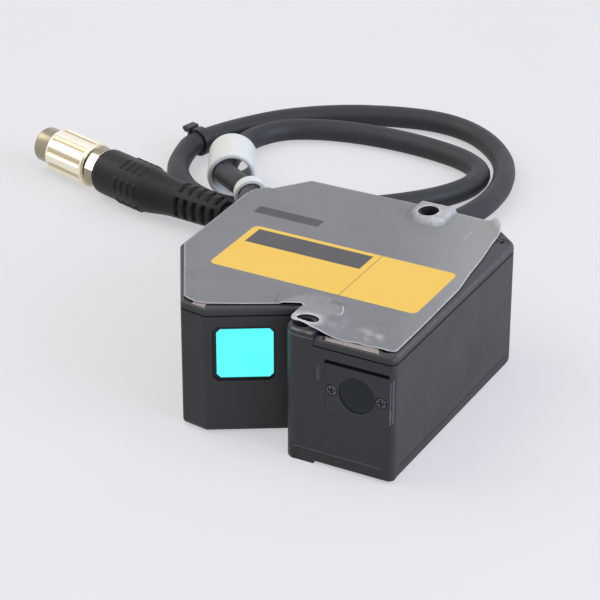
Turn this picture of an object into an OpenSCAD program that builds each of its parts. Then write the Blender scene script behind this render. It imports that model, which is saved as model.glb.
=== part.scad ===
// Laser displacement sensor head with its own cable and push-pull connector, lying flat on its base.
// Millimetres. The origin is under the middle of the head, on the plane that its mounting pads stand on.
// +X runs along the emitter face, +Y to the rear, +Z up to the label side.

/* [Head] */
// Width of the head along the emitter face
head_w = 68; // [62:0.2:75]
// Depth of the head from the emitter face to the rear edge
head_d = 70.5; // [66:0.5:76]
// Height of the cover's top above the mounting plane
head_h = 31.5; // [29:0.5:36]
// How far the mounting pads stand below the head
pad_h = 0.5; // [0.3:0.1:1]
// How far the two mounting bosses stand above the cover
boss_rise = 1.2; // [0.4:0.1:2]
// Height of the cover's visible edge
cover_t = 1.86; // [1.6:0.02:2.4]
// Wall of the die-cast housing
wall = 2.2; // [1.8:0.1:2.6]

/* [Mounting] */
// Diameter of the two mounting holes
hole_d = 4.5; // [3.4:0.1:4.8]
// Distance between the mounting holes
hole_pitch = 62.5; // [61.5:0.25:63]
// Distance from the head's right side to the mounting holes
hole_inset = 24; // [23.5:0.1:24.5]

/* [Emitter] */
// Width of the emitter block, from the right side to the notch
emitter_w = 27.3; // [26.5:0.1:28.5]
// Distance from the head's right side to the beam
beam_inset = 9.1; // [9:0.05:9.3]
// Height of the beam and of both windows
beam_z = 20; // [19:0.1:20.5]
// Diameter of the clear emitter window
emitter_window_d = 8.7; // [7:0.1:8.8]
// Width of the emitter's screwed plate
emitter_plate_w = 15.6; // [15.2:0.1:16]
// Height of the emitter's screwed plate
emitter_plate_h = 12.6; // [12:0.1:13.4]
// Distance from the beam to each plate screw
plate_screw_x = 6; // [5.9:0.05:6.2]

/* [Receiver] */
// Angle of the receiver face to the emitter face
receiver_angle = 31; // [28:0.5:34]
// Distance from the head's right side to the receiver face's outer end
receiver_inset = 46.9; // [46:0.1:48]
// Side of the square receiver window
receiver_window = 12.7; // [11:0.1:12.9]
// Distance along the face from its outer end to the window's middle
receiver_along = 8.9; // [8.6:0.1:9.5]

/* [Connector] */
// Diameter of the metal connector shell
shell_d = 9.7; // [9.4:0.1:10]
// Diameter of the fluted locking sleeve
sleeve_d = 12.2; // [11.9:0.1:12.6]
// Number of flutes round the locking sleeve
flutes = 9; // [6:1:10]
// How far the locking sleeve can be pulled back
sleeve_travel = 1; // [0.5:0.1:1.2]
// Largest diameter of the moulded boot
boot_d = 13.2; // [12.6:0.1:13.4]

/* [Cable] */
// Diameter of the cable
cable_d = 6; // [5.4:0.1:6.1]

/* [Hidden] */
$fn = 48;

// Planes and lines of the head
right = head_w / 2;
left = -head_w / 2;
front = -head_d / 2;
rear = head_d / 2;
base_z = pad_h;
part_z = head_h - cover_t;
boss_top = head_h + boss_rise;
floor_z = base_z + 2.5;
beam_x = right - beam_inset;
hole_x = right - hole_inset;
front_hole = [hole_x, front + 3.75];
rear_hole = [hole_x, front + 3.75 + hole_pitch];
notch_x = right - emitter_w;
boss_right = hole_x + 4.3;
boss_depth = 8.7;

// Receiver face: direction along it, and the way into the head
face_dir = [cos(receiver_angle), sin(receiver_angle)];
face_in = [-sin(receiver_angle), cos(receiver_angle)];
face_end = [right - receiver_inset, front + 0.15];
chamfer_along = 5.2;
chamfer_side = 4.3;
block_corner = face_end - chamfer_along * face_dir + chamfer_side * face_in;
block_left = block_corner + (block_corner.x - left) / sin(receiver_angle) * face_in;
notch_corner = face_end + (notch_x - face_end.x) / face_dir.x * face_dir;
window_mid = face_end + receiver_along * face_dir;

// Plan of the head as corners [x, y, radius], counter-clockwise from the front right
corners = [[right, front, 1.6], [right, rear - 8.2, 4], [right - 9.6, rear, 3],
           [left + 10, rear - 0.3, 1.2], [left, rear - 13.4, 1.2], [block_left.x, block_left.y, 1.2],
           [block_corner.x, block_corner.y, 1], [face_end.x, face_end.y, 1],
           [notch_corner.x, notch_corner.y, 1], [notch_x, front, 3.4]];
arc_steps = 6;
edge_r = 0.8;
// Point inside the plan from which every corner can be seen
heart = [hole_x + 2, 0];

// Emitter window stack, from the face inwards
plate_t = 1.3;
plate_sink = 0.06;
glass_t = 1.2;
seal_t = 0.4;
glass_r = emitter_window_d / 2 + 0.3;
glass_sink = plate_sink + 0.4;
emitter_wall = 3.9;
aperture_r = 3.6;
plate_gap = 1;

// Receiver window stack
receiver_wall = 3.4;
receiver_glass_t = 1.1;
receiver_sink = 0.55;
receiver_pocket = receiver_window + 1.3;
receiver_window_h = receiver_window - 0.5;
receiver_cut = 0.9;
receiver_shift = [-0.3, 0.15];

// Cover screws: rear right, front left, rear left and front right
cover_screw_at = [[right - 3.2, rear - 8.7], [block_corner.x + 1.3, block_corner.y + 2.7],
                  [left + 5.2, rear - 11.2], [right - 3.4, front + 3.4]];
screw_head_r = 1.3;
screw_shank_r = 0.8;
screw_len = 5;

// Inner pieces
holder_len = 16;
holder_y = front + emitter_wall + 2.6;
barrel_r = 7.2;
barrel_len = 13;
barrel_depth = 5;
sensor_depth = 29;
board_z = floor_z + 4;
board_t = 1.6;
board_size = [48, 17];
board_mid = [0, rear - 20.5];
board_screw_at = [for (sx = [-1, 1]) for (sy = [-1, 1]) board_mid + [sx * 20.5, sy * 5.5]];

// Cable exit on the slanted rear left face
gland_z = 14;
gland_a = [corners[3].x, corners[3].y];
gland_b = [corners[4].x, corners[4].y];
gland_mid = (gland_a + gland_b) / 2;
gland_heading = atan2(gland_a.x - gland_b.x, gland_b.y - gland_a.y);
gland_len = 17;

// Connector: its tip on the floor plan, its heading and its axis height
connector_tip = [-123.7, 67.9];
connector_heading = -16;
connector_z = boot_d / 2 - 0.15;
sleeve_x = 5.8;
sleeve_len = 14.6;
collar_x = 18.6;
boot_x = 24.8;
boot_len = 18.4;
relief_turn = 8;
relief_len = 19.5;
relief_r = [5.5, 4.3];
mating_depth = 3.5;
insert_r = shell_d / 2 - 0.8;
collar_r = 5;
flute_r = 1.5;
flute_turn = -110;
flat_turn = -129;
flat_reach = 5.45;
flange_r = 5.9;
flange_len = 3.3;
running_gap = 0.07;

// Cable route from the gland to the boot, points chosen along the floor, crossing over itself twice
route = [[-41, 37.9, 14], [-45.9, 42.2, 13.7], [-50.5, 50.5, 12.6], [-54.5, 59.1, 10.8], [-60, 63.9, 9.9],
         [-65.4, 68.3, 8.9], [-70.1, 72.6, 7.8], [-73.3, 78.9, 6.5], [-76, 85.4, 5.2], [-78.8, 94, 3.8],
         [-79.7, 104, 3.1],
         [-75.7, 112.5, 3.1], [-67.7, 118, 3.1], [-55.7, 121.5, 3.1], [-39.7, 122.5, 3.1], [-23.7, 120, 3.1],
         [-15, 114.5, 3.1], [-13.1, 106, 3.1], [-17, 96, 3.1], [-25.7, 85.5, 3.1], [-37.7, 75.5, 3.1],
         [-48.7, 67.5, 3.2], [-58.3, 63.4, 3.4], [-68.7, 63.3, 3.2], [-78.7, 67.5, 3.1], [-87.2, 76.5, 3.1],
         [-91.2, 87.5, 3.4], [-90.5, 94, 4.1], [-85.3, 109.5, 3.2], [-75.7, 122.5, 3.1], [-60.7, 133, 3.1],
         [-41.7, 139, 3.1], [-26.7, 136.5, 3.1], [-13.9, 126, 3.1], [-6.7, 112, 3.1], [-4.9, 96, 3.1],
         [-8.9, 80, 3.1], [-17.8, 66, 3.1], [-32.7, 55, 3.1], [-47.7, 51.4, 4], [-56.7, 52.6, 6],
         [-64.7, 53.7, 6.45]];
cable_sides = 10;

// Ties on the cable: a wide loose wrap, a white tie near the gland, and a black tie with a cut stub
wrap_at = [-71.9, 79.6, 6.7];
wrap_heading = 118;
wrap_r = [5.2, 6.6];
wrap_len = 14;
loop_at = [-54.5, 59.1, 10.8];
loop_heading = 125;
loop_r = [3.5, 4.5];
loop_len = 3;
snug_at = [-90.5, 94, 4.1];
snug_heading = 76;
snug_r = [3.2, 4];
snug_len = 2.6;

// Plan helpers
function unit(v) = v / norm(v);
function turn(a, b) = a.x * b.y - a.y * b.x;

// Points of one rounded corner of the plan, moved inwards by inset
function corner_arc(before, at, after, r, inset) =
    let (a = unit(before - at), b = unit(after - at), half = acos(a * b) / 2,
         side = turn(at - before, after - at) > 0 ? 1 : -1,
         tip = at + side * unit(a + b) * inset / sin(half),
         radius = max(r - side * inset, 0.3),
         centre = tip + unit(a + b) * radius / sin(half),
         foot = tip + a * radius / tan(half) - centre,
         start = atan2(foot.y, foot.x), sweep = side * (180 - 2 * half))
    [for (k = [0:arc_steps]) let (t = start + sweep * k / arc_steps) centre + radius * [cos(t), sin(t)]];

// Plan of the head moved inwards by inset
function outline(inset) =
    let (n = len(corners))
    [for (i = [0:n - 1])
        let (p = corners[(i + n - 1) % n], q = corners[i], s = corners[(i + 1) % n])
        each corner_arc([p.x, p.y], [q.x, q.y], [s.x, s.y], q[2], inset)];

// Solid through the head's plan, whose edge follows a list of [inset, height], bottom to top.
// Its two ends are fans of triangles round the heart, a point from which every corner can be seen.
module slab(profile) {
    rings = [for (p = profile) [for (q = outline(p[0])) [q.x, q.y, p[1]]]];
    n = len(rings[0]);
    m = len(rings);
    low = [heart.x, heart.y, profile[0][1]];
    high = [heart.x, heart.y, profile[m - 1][1]];
    sides = [for (j = [0:m - 2]) for (i = [0:n - 1])
        [j * n + i, (j + 1) * n + i, (j + 1) * n + (i + 1) % n, j * n + (i + 1) % n]];
    under = [for (i = [0:n - 1]) [m * n, i, (i + 1) % n]];
    over = [for (i = [0:n - 1]) [m * n + 1, (m - 1) * n + (i + 1) % n, (m - 1) * n + i]];
    polyhedron([for (r = rings) each r, low, high], concat(under, over, sides));
}

// Plan of the two mounting bosses, grown by grow; the rear one has its inner corners cut
module boss_plan(grow) {
    translate([notch_x - 5, front - 5])
        square([boss_right - notch_x + 5 + grow, boss_depth + 5 + grow]);
    w = 7.9 + 2 * grow;
    d = boss_depth + 5 + grow;
    cut = 0.6 * grow;
    translate([hole_x - 3.6 - grow, rear - boss_depth - grow])
        polygon([[2.2 + cut, 0], [w - 1 - cut, 0], [w, 1 + cut], [w, d], [0, d], [0, 2.2 + cut]]);
}

// Plan of the head inside the line at inset, going round the bosses
module seal_plan(inset) {
    difference() {
        polygon(outline(inset));
        boss_plan(inset);
    }
}

// Hollow of the housing: the plan inside its walls, less screw posts and the two thick window walls
module hollow_plan(grow) {
    difference() {
        seal_plan(wall + grow);
        for (p = cover_screw_at) translate(p) circle(r = 2.5 + grow);
        translate([boss_right - 2, front]) square([emitter_w, emitter_wall + grow]);
        translate(face_end) rotate(receiver_angle) translate([-10, 0]) square([40, receiver_wall + grow]);
    }
}

// Places: on the emitter face looking in, and on the receiver face looking in
module at_emitter() translate([beam_x, front, beam_z]) rotate([-90, 0, 0]) children();
module at_receiver()
    translate([window_mid.x, window_mid.y, beam_z + 0.45]) rotate([0, 0, receiver_angle]) rotate([-90, 0, 0]) children();
module at_gland()
    translate([gland_mid.x, gland_mid.y, gland_z]) rotate([0, 0, gland_heading]) rotate([0, 90, 0]) children();
module at_connector()
    translate([connector_tip.x, connector_tip.y, connector_z])
        rotate([0, 0, connector_heading]) rotate([0, 90, 0]) children();
module at_cable(place, heading) translate(place) rotate([0, 0, heading]) rotate([0, 90, 0]) children();

module ring(r, h) {
    difference() {
        cylinder(r = r[1], h = h);
        translate([0, 0, -1]) cylinder(r = r[0], h = h + 2);
    }
}

// Rectangle with cut-off corners, round its middle
module cut_rectangle(size, cut) {
    a = size / 2;
    polygon([[-a.x, cut - a.y], [cut - a.x, -a.y], [a.x - cut, -a.y], [a.x, cut - a.y],
             [a.x, a.y - cut], [a.x - cut, a.y], [cut - a.x, a.y], [-a.x, a.y - cut]]);
}

// Plan of the receiver's glass, grown by grow
module receiver_plan(grow) translate([0, 0.25])
    cut_rectangle([receiver_window + grow, receiver_window_h + grow], receiver_cut);

module box_mid(size) translate([-size.x / 2, -size.y / 2, 0]) cube(size);

// Cross recess cut into a screw head
module cross_cut(len, depth) {
    for (a = [0, 90]) rotate(a) translate([-len / 2, -0.2, -depth]) cube([len, 0.4, depth + 1]);
}

module housing() color("#3a3b3d") difference() {
    union() {
        slab([[edge_r, base_z], [0.25, base_z + 0.25], [0, base_z + edge_r], [0, part_z]]);
        intersection() {
            slab([[0, 0], [0, boss_top - 0.8], [0.25, boss_top - 0.3], [0.75, boss_top]]);
            translate([0, 0, -1]) linear_extrude(boss_top + 2) boss_plan(0);
        }
        translate([left + 9.5, 4, 0]) cylinder(r = 4, h = base_z + 1);
    }
    // Hollow, with the floor's standoffs left standing
    difference() {
        translate([0, 0, floor_z]) linear_extrude(head_h) hollow_plan(0);
        for (p = board_screw_at) translate([p.x, p.y, floor_z - 1]) cylinder(r = 2.3, h = board_z - floor_z + 1);
    }
    for (p = [front_hole, rear_hole]) translate([p.x, p.y, -1]) cylinder(d = hole_d, h = boss_top + 2);
    for (p = cover_screw_at) translate([p.x, p.y, part_z - screw_len]) cylinder(r = screw_shank_r, h = screw_len + 1);
    for (p = board_screw_at) translate([p.x, p.y, floor_z + 0.5]) cylinder(r = 0.8, h = 5);
    // Groove for the cover's gasket
    translate([0, 0, part_z - 0.6]) linear_extrude(1) difference() {
        seal_plan(0.7);
        seal_plan(1.5);
    }
    // Emitter: pocket for the plate, seat for the glass, aperture and screw holes
    at_emitter() {
        translate([0, -plate_gap / 2, -1])
            box_mid([emitter_plate_w + 0.04, emitter_plate_h + plate_gap, plate_t + plate_sink + 1]);
        cylinder(r = glass_r + 0.05, h = glass_sink + glass_t + seal_t);
        cylinder(r = aperture_r, h = emitter_wall + 2);
        for (s = [-1, 1]) translate([s * plate_screw_x, 0, 0]) cylinder(r = 0.8, h = 3.6);
    }
    // Receiver: pocket for the glass and its seal, and a clear opening
    at_receiver() {
        translate([0, 0, -1]) linear_extrude(receiver_sink + receiver_glass_t + 1)
            translate(receiver_shift) cut_rectangle([receiver_pocket, receiver_pocket - 0.3], 1.1);
        box_mid([receiver_window - 2, receiver_window - 2, receiver_wall + 3]);
    }
    at_gland() translate([0, 0, -wall - 3]) cylinder(r = 3.5, h = wall + 4);
    // Shallow set-backs along the lower front and right sides
    translate([hole_x - 0.6, front - 1, base_z - 1]) cube([22, 1.25, 4]);
    translate([right - 0.5, front + 2, base_z - 1]) cube([2, head_d, 3.5]);
}

module top_cover() color("#3f4043") difference() {
    union() {
        slab([[0.45, part_z], [0.45, part_z + 0.3], [0, part_z + 0.35], [0, head_h - 0.7],
              [0.2, head_h - 0.2], [0.7, head_h]]);
        // Locating lip inside the housing
        translate([0, 0, part_z - 1.4]) linear_extrude(1.6) difference() {
            hollow_plan(0.15);
            seal_plan(wall + 1.2);
        }
    }
    translate([0, 0, part_z - 3]) linear_extrude(6) boss_plan(0.12);
    for (p = cover_screw_at) translate([p.x, p.y, 0]) {
        cylinder(r = screw_shank_r + 0.1, h = head_h);
        translate([0, 0, head_h - 0.9]) cylinder(r = screw_head_r + 0.15, h = 2);
    }
}

module cover_gasket() color("#232323") translate([0, 0, part_z - 0.6]) linear_extrude(0.6) difference() {
    seal_plan(0.75);
    seal_plan(1.45);
}

module cover_screws() color("#202022")
    for (p = cover_screw_at) translate([p.x, p.y, head_h - 0.1]) difference() {
        union() {
            translate([0, 0, -0.8]) cylinder(r = screw_head_r, h = 0.8);
            translate([0, 0, -cover_t - 3.5]) cylinder(r = screw_shank_r - 0.05, h = cover_t + 3.5);
        }
        cross_cut(1.7, 0.4);
    }

// Film on the cover, whose right edge is drawn in, open round the bosses and the rear right screw
module label_film() color("#8e8e91") translate([0, 0, head_h]) linear_extrude(0.2) difference() {
    polygon(outline(0.9));
    boss_plan(0.2);
    polygon([[right - 1.4, front - 1], [right - 1.6, -2], [right - 3.5, 16], [right - 4.5, 24], [right - 5.2, rear - 3],
             [right - 6, rear + 1], [right + 1, rear + 1], [right + 1, front - 1]]);
    translate([boss_right - 1, front - 1]) square([emitter_w, 3.2]);
    for (p = cover_screw_at) translate(p) circle(r = screw_head_r + 0.4);
}

module emitter_window_plate() color("#2e2f31") at_emitter() translate([0, 0, plate_sink]) difference() {
    box_mid([emitter_plate_w, emitter_plate_h, plate_t]);
    translate([0, 0, -1]) cylinder(d = emitter_window_d, h = plate_t + 2);
    translate([0, 0, glass_sink - plate_sink]) cylinder(r = glass_r + 0.05, h = plate_t);
    translate([0, 0, -0.01]) cylinder(r1 = emitter_window_d / 2 + 0.15, r2 = emitter_window_d / 2, h = 0.15);
    for (s = [-1, 1]) translate([s * plate_screw_x, 0, -0.01]) {
        cylinder(r1 = 1.45, r2 = 0.85, h = 0.75);
        cylinder(r = 0.85, h = plate_t + 1);
    }
}

module emitter_window_glass() color("#10161c") at_emitter()
    translate([0, 0, glass_sink]) cylinder(r = glass_r, h = glass_t);

module emitter_window_seal() color("#1c1c1c") at_emitter()
    translate([0, 0, glass_sink + glass_t]) ring([aperture_r + 0.2, glass_r], seal_t);

module plate_screws() color("#19191b") at_emitter()
    for (s = [-1, 1]) translate([s * plate_screw_x, 0, plate_sink]) difference() {
        union() {
            cylinder(r1 = 1.4, r2 = 0.8, h = 0.7);
            cylinder(r = 0.75, h = 3.2);
        }
        rotate([180, 0, 0]) cross_cut(1.7, 0.35);
    }

module receiver_window_glass() color("#63f2ee") at_receiver() translate([0, 0, receiver_sink])
    linear_extrude(receiver_glass_t) receiver_plan(0);

module receiver_window_seal() color("#1a1a1c") at_receiver() translate([0, 0, receiver_sink])
    linear_extrude(receiver_glass_t) difference() {
        translate(receiver_shift) cut_rectangle([receiver_pocket - 0.1, receiver_pocket - 0.4], 1.1);
        receiver_plan(0.1);
    }

// Block on the housing floor with a stepped bore along the beam
module laser_holder() color("#9a9da2") difference() {
    translate([beam_x - 6.5, holder_y, floor_z]) cube([13, holder_len, beam_z + 6 - floor_z]);
    at_emitter() {
        cylinder(r = 3.6, h = 60);
        translate([0, 0, holder_y - front + holder_len - 5]) cylinder(r = 4.6, h = 20);
    }
}

module collimator_lens() color("#a9c7d6") at_emitter()
    translate([0, 0, holder_y - front + 2.5]) intersection() {
        cylinder(r = 3.55, h = 3);
        translate([0, 0, 6.2]) sphere(r = 6.2);
    }

module laser_diode() color("#c9a75a") at_emitter() translate([0, 0, holder_y - front + holder_len - 5]) {
    cylinder(r = 4.5, h = 1.5);
    translate([0, 0, -3]) cylinder(r = 2.4, h = 3.5);
    for (a = [0, 120, 240]) rotate(a) translate([1.3, 0, 1.4]) cylinder(r = 0.25, h = 6, $fn = 16);
}

// Lens barrel across the receiver's line of sight, on a saddle that stands on the housing floor
module receiver_lens_barrel() color("#2b2c2e") at_receiver() difference() {
    union() {
        translate([0, 0, barrel_depth]) cylinder(r = barrel_r, h = barrel_len);
        translate([-5, 0, barrel_depth + 1])
            cube([10, beam_z + 0.45 - floor_z, barrel_len - 2]);
    }
    translate([0, 0, barrel_depth - 1]) cylinder(r = 5.4, h = barrel_len + 2);
    translate([0, 0, barrel_depth + 3]) cylinder(r = 6.2, h = barrel_len);
}

module receiver_lens() color("#9fc4cf") at_receiver() translate([0, 0, barrel_depth + 3]) intersection() {
    cylinder(r = 6.1, h = 5);
    translate([0, 0, 9]) sphere(r = 9);
    translate([0, 0, -4]) sphere(r = 9);
}

module sensor_board() color("#2d6b42") at_receiver()
    translate([-8, -6.5, sensor_depth]) cube([16, beam_z + 0.45 - floor_z + 6.5, 1.2]);

module image_sensor() color("#26282c") at_receiver() translate([0, 0, sensor_depth - 1.8]) difference() {
    box_mid([12, 5, 1.8]);
    translate([0, 0, -1]) box_mid([9, 2, 1.5]);
}

module main_board() color("#2f7045") difference() {
    translate([board_mid.x, board_mid.y, board_z]) box_mid([board_size.x, board_size.y, board_t]);
    for (p = board_screw_at) translate([p.x, p.y, board_z - 1]) cylinder(r = 1.1, h = 4);
}

module board_chips() color("#2a2a2d") translate([board_mid.x, board_mid.y, board_z + board_t]) {
    translate([-9, 0, 0]) box_mid([12, 12, 1.4]);
    translate([5, 2, 0]) box_mid([8, 6, 1.6]);
    translate([14.5, -1, 0]) box_mid([5, 9, 3.2]);
    translate([5, -5, 0]) box_mid([4, 3, 1]);
}

module board_screws() color("#b4b6b8")
    for (p = board_screw_at) translate([p.x, p.y, board_z + board_t]) difference() {
        union() {
            cylinder(r = 1.7, h = 1.2);
            translate([0, 0, -5]) cylinder(r = 0.75, h = 5.5);
        }
        translate([0, 0, 1.2]) cross_cut(2, 0.5);
    }

// Rubber gland: plug in the wall, flange outside it, tapered tail
module cable_gland() color("#262628") at_gland() {
    translate([0, 0, -wall - 1]) cylinder(r = 3.45, h = wall + 1.2);
    cylinder(r = 5, h = 1.6);
    translate([0, 0, 1.5]) cylinder(r1 = 4.4, r2 = 3.5, h = gland_len - 1.5);
    for (k = [0:3]) translate([0, 0, 4 + 3 * k]) cylinder(r = 4.5 - 0.17 * k, h = 1.2);
}

// Points on a smooth curve through the route, two steps to each stretch
function route_at(i, t) =
    let (n = len(route), a = route[max(i - 1, 0)], b = route[i], c = route[min(i + 1, n - 1)],
         d = route[min(i + 2, n - 1)])
    0.5 * (2 * b + (c - a) * t + (2 * a - 5 * b + 4 * c - d) * t * t + (3 * b - a - 3 * c + d) * t * t * t);
function smooth_route() =
    let (n = len(route))
    [for (i = [0:n - 2]) for (t = [0, 0.5]) route_at(i, t), route[n - 1]];

// Round tube swept along a list of points
module tube(path, r, sides) {
    n = len(path);
    points = [for (i = [0:n - 1])
        let (ahead = unit(path[min(i + 1, n - 1)] - path[max(i - 1, 0)]),
             across = unit(cross(ahead, [0, 0, 1])), over = cross(across, ahead))
        for (k = [0:sides - 1])
            let (t = 360 * k / sides) path[i] + r * (cos(t) * across + sin(t) * over)];
    walls = [for (i = [0:n - 2]) for (k = [0:sides - 1])
        let (m = (k + 1) % sides)
        [i * sides + k, i * sides + m, (i + 1) * sides + m, (i + 1) * sides + k]];
    start = [for (k = [0:sides - 1]) sides - 1 - k];
    end = [for (k = [0:sides - 1]) (n - 1) * sides + k];
    polyhedron(points, concat([start, end], walls));
}

module cable() color("#47484a") tube(smooth_route(), cable_d / 2, cable_sides);

module white_cable_wrap() color("#eeeeea") at_cable(wrap_at, wrap_heading)
    translate([0, 0, -wrap_len / 2]) ring(wrap_r, wrap_len);

module white_cable_tie() color("#f1f1ee") at_cable(loop_at, loop_heading) {
    translate([0, 0, -loop_len / 2]) ring(loop_r, loop_len);
    translate([-1.2, -loop_r[1] - 1.8, -1.7]) cube([2.4, 2.5, 3.4]);
}

module black_cable_tie() color("#2a2a2b") at_cable(snug_at, snug_heading) {
    translate([0, 0, -snug_len / 2]) ring(snug_r, snug_len);
    translate([-4, 2.2, -1.9]) cube([1.8, 2.4, 3.8]);
    translate([-3.2, 4.5, -1.2]) cube([0.9, 1.2, 2.4]);
}

// Arc slots that make the strain relief flexible, four to a ring with straight webs between them
module relief_slots() {
    for (k = [0:5]) translate([0, 0, 2.2 + 2.7 * k]) for (a = [0:90:270]) rotate(a) intersection() {
        ring([3.1, 8], 1.25);
        translate([0, 0, -1]) linear_extrude(4) polygon([[0, 0], [9, -6.5], [9, 6.5]]);
    }
}

// Moulded boot: round body with grip ribs, then the slotted strain relief, a little turned
module connector_boot() color("#252526") at_connector() {
    difference() {
        union() {
            translate([0, 0, boot_x]) rotate_extrude() polygon([[0, 0], [5.9, 0], [6.2, 0.6], [6.25, 5],
                [boot_d / 2 - 0.15, 10], [boot_d / 2 - 0.2, 13.5], [5.9, 15.5], [5.5, boot_len], [0, boot_len]]);
            // Grip ribs in four panels
            translate([0, 0, boot_x]) for (a = [0:90:270]) rotate(a + 45) for (k = [0:2])
                intersection() {
                    translate([0, 0, 5.2 + 3 * k]) ring([5.5, boot_d / 2], 1.3);
                    translate([3, -3, 0]) cube([6, 6, 20]);
                }
        }
        translate([0, 0, boot_x - 1]) cylinder(r = 3.55, h = 7);
    }
    translate([0, 0, boot_x + boot_len - 1.2]) rotate([-relief_turn, 0, 0]) difference() {
        cylinder(r1 = relief_r[0], r2 = relief_r[1], h = relief_len + 1.2);
        relief_slots();
    }
}

// Metal shell: open mating end, barrel inside the sleeve, collar, and the core inside the boot
module connector_shell() color("#b9b19a") at_connector() difference() {
    union() {
        rotate_extrude() polygon([[0, 0], [shell_d / 2 - 0.3, 0], [shell_d / 2, 0.3], [shell_d / 2, collar_x],
            [collar_r, collar_x], [collar_r, boot_x - flange_len],
            [flange_r, boot_x - flange_len + 0.3], [flange_r, boot_x], [3.5, boot_x], [3.5, boot_x + 5.8], [0, boot_x + 5.8]]);
    }
    translate([0, 0, -1]) cylinder(r = insert_r, h = mating_depth + 9);
    // Spanner flats on the flange
    for (k = [0:3]) rotate(flat_turn + 90 * k) translate([flat_reach, -5, boot_x - flange_len - 0.1])
        cube([3, 10, flange_len + 0.1]);
}

// Locking sleeve: fluted outside, stepped bore that runs on the shell and on its collar
module locking_sleeve() color("#d9c9a4") at_connector() translate([0, 0, sleeve_x]) difference() {
    rotate_extrude() polygon([[0, 0], [sleeve_d / 2 - 0.5, 0], [sleeve_d / 2, 0.5],
        [sleeve_d / 2, sleeve_len - 0.5], [sleeve_d / 2 - 0.5, sleeve_len], [0, sleeve_len]]);
    translate([0, 0, -1]) cylinder(r = shell_d / 2 + running_gap, h = sleeve_len + 2);
    translate([0, 0, collar_x - sleeve_x - sleeve_travel - 0.8])
        cylinder(r = collar_r + running_gap, h = sleeve_len);
    for (k = [0:flutes - 1]) rotate(flute_turn + 360 * k / flutes) translate([sleeve_d / 2 + flute_r - 0.55, 0, 0.8])
        cylinder(r = flute_r, h = sleeve_len - 1.6);
}

module connector_insert() color("#2c2c2e") at_connector() translate([0, 0, mating_depth]) difference() {
    cylinder(r = insert_r - 0.02, h = 7.8);
    contact_places() translate([0, 0, -1]) cylinder(r = 0.42, h = 20, $fn = 16);
}

// Places of the contacts: an outer ring of nine and an inner ring of three
module contact_places() {
    for (k = [0:8]) rotate(40 * k) translate([2.9, 0, 0]) children();
    for (k = [0:2]) rotate(120 * k + 20) translate([1.1, 0, 0]) children();
}

module contact_pins() color("#d5b45c") at_connector() contact_places()
    translate([0, 0, 0.8]) cylinder(r = 0.4, h = mating_depth + 7, $fn = 16);

housing();
top_cover();
cover_gasket();
cover_screws();
label_film();
emitter_window_plate();
emitter_window_glass();
emitter_window_seal();
plate_screws();
receiver_window_glass();
receiver_window_seal();
laser_holder();
laser_diode();
collimator_lens();
receiver_lens_barrel();
receiver_lens();
sensor_board();
image_sensor();
main_board();
board_chips();
board_screws();
cable_gland();
cable();
white_cable_wrap();
white_cable_tie();
black_cable_tie();
connector_boot();
connector_shell();
locking_sleeve();
connector_insert();
contact_pins();
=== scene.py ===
"""Looks of a laser displacement sensor head with its coiled cable and push-pull connector.

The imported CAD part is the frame. Sizes are in millimetres in its own axes: +X along the emitter face,
+Y to the rear, +Z up to the label side. Points go into Blender in metres.
"""

import bpy
import numpy as np
from mathutils import Matrix


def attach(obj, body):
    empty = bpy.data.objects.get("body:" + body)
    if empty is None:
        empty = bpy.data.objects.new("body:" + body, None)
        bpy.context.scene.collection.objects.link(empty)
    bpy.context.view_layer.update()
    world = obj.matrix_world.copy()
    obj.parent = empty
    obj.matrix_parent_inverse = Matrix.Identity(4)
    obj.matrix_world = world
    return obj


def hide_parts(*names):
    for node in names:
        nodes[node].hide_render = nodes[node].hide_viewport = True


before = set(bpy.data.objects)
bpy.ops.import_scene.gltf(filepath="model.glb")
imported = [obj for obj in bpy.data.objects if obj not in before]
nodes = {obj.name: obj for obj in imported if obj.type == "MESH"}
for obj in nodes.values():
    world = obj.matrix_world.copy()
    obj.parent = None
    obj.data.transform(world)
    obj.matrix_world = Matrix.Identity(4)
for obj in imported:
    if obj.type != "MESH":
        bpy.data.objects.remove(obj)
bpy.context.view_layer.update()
MM = 0.001

# Head: heights and lines shared with the part's source
COVER_TOP = 31.5
COVER_EDGE = -34.55
BOSS_TOP = 32.7
FRONT_BOSS = np.array([(6.7, -36), (14.3, -36), (14.3, -26.55), (6.7, -26.55)])
REAR_BOSS = np.array([(8.6, 26.55), (13.3, 26.55), (14.3, 27.55), (14.3, 36), (6.4, 36), (6.4, 28.75)])
COVER_SCREWS = ((-18.3, -31.4), (-28.8, 24.05))
PLATE_SCREWS_X = (18.9, 30.9)
PLATE_SCREWS_Z = 20.0
PLATE_HEAD_R = 1.2

# Connector: its tip, heading and stations along its axis
TIP = np.array([-123.7, 67.9, 6.45])
HEADING = np.radians(-16)
SHELL_R = 4.85
COLLAR_R = 5.0
FLANGE_R = 5.9
COLLAR_AT = 18.6
FLANGE_AT = 21.5
BOOT_AT = 24.8
SLEEVE_AT = 5.8
SLEEVE_LEN = 14.6
SLEEVE_R = 6.1
FLUTES = 9
FLUTE_R = 1.5
FLUTE_DEPTH = 0.55
FLUTE_TURN = np.radians(160)
FLAT_REACH = 5.45
FLAT_TURN = np.radians(141)
BORE_R = 4.05
BORE_END = 11.5
CABLE_SEAT_R = 3.5
STEP_AT = 16.8
RUNNING_GAP = 0.07

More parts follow.
